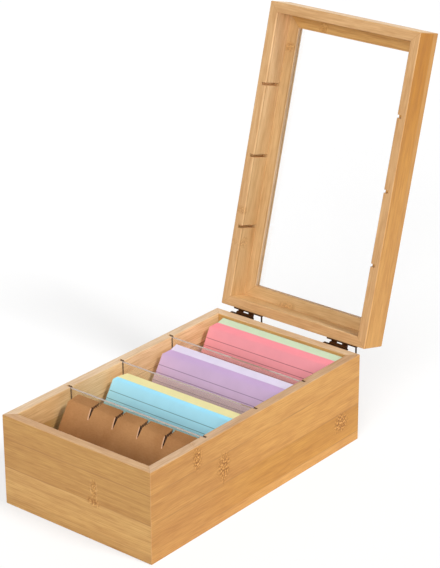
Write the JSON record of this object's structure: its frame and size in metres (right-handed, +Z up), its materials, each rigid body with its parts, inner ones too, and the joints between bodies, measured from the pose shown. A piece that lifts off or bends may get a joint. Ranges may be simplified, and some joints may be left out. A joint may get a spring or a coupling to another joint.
{
  "type": "recipe card box",
  "caption": "Bamboo box for 3 x 5 in cards, with lift-out clear dividers, leaning card stacks and a hinged lid with a clear window that leans open on stops.",
  "frame": {"origin": "middle of the box's underside", "axes": "+X to the right across the box, +Y from the front to the hinges, +Z up; the lid is open"},
  "size_m": [0.15, 0.3569, 0.3306],
  "materials": {
    "bamboo": "laminated bamboo strips under a satin clear lacquer",
    "clear_acrylic": "polished clear acrylic sheet",
    "hinge_bronze": "bronzed steel",
    "kraft_board": "uncoated kraft board",
    "blue_card": "smooth uncoated card with ruled lines",
    "yellow_card": "smooth uncoated card with ruled lines",
    "purple_card": "smooth uncoated card with ruled lines",
    "lavender_card": "smooth uncoated card with ruled lines",
    "pink_card": "smooth uncoated card with ruled lines",
    "green_card": "smooth uncoated card with ruled lines"
  },
  "bodies": {
    "box": {"front_wall": "bamboo", "rear_wall": "bamboo", "left_wall": "bamboo", "right_wall": "bamboo", "floor_panel": "bamboo", "left_hinge_box_leaf": "hinge_bronze", "right_hinge_box_leaf": "hinge_bronze", "left_hinge_pin": "hinge_bronze", "right_hinge_pin": "hinge_bronze", "box_hinge_screws": "hinge_bronze"},
    "lid": {"lid_front_wall": "bamboo", "lid_rear_wall": "bamboo", "lid_left_wall": "bamboo", "lid_right_wall": "bamboo", "lid_front_rail": "bamboo", "lid_rear_rail": "bamboo", "lid_left_rail": "bamboo", "lid_right_rail": "bamboo", "window_pane": "clear_acrylic", "left_hinge_lid_leaf": "hinge_bronze", "right_hinge_lid_leaf": "hinge_bronze", "lid_hinge_screws": "hinge_bronze"},
    "divider_front": {"front_divider": "clear_acrylic"},
    "divider_middle": {"middle_divider": "clear_acrylic"},
    "divider_rear": {"rear_divider": "clear_acrylic"},
    "guides": {"kraft_guides": "kraft_board"},
    "second_stack": {"blue_cards": "blue_card", "yellow_cards": "yellow_card"},
    "third_stack": {"purple_cards": "purple_card", "lavender_cards": "lavender_card"},
    "rear_stack": {"pink_cards": "pink_card", "green_cards": "green_card"}
  },
  "joints": [
    {"name": "lid_hinge", "type": "hinge", "parent": "box", "child": "lid", "pos_m": [0, 0.1336, 0.0762], "axis": [-1, 0, 0], "range_deg": [-104.8, 0]},
    {"name": "front_divider_lift", "type": "slide", "parent": "box", "child": "divider_front", "axis": [0, 0, 1], "range_m": [0, 0.08]},
    {"name": "middle_divider_lift", "type": "slide", "parent": "box", "child": "divider_middle", "axis": [0, 0, 1], "range_m": [0, 0.08]},
    {"name": "rear_divider_lift", "type": "slide", "parent": "box", "child": "divider_rear", "axis": [0, 0, 1], "range_m": [0, 0.08]},
    {"name": "guides_lift", "type": "slide", "parent": "box", "child": "guides", "axis": [0, 0, 1], "range_m": [0, 0.08]},
    {"name": "second_stack_lift", "type": "slide", "parent": "box", "child": "second_stack", "axis": [0, 0, 1], "range_m": [0, 0.08]},
    {"name": "third_stack_lift", "type": "slide", "parent": "box", "child": "third_stack", "axis": [0, 0, 1], "range_m": [0, 0.08]},
    {"name": "rear_stack_lift", "type": "slide", "parent": "box", "child": "rear_stack", "axis": [0, 0, 1], "range_m": [0, 0.08]}
  ]
}
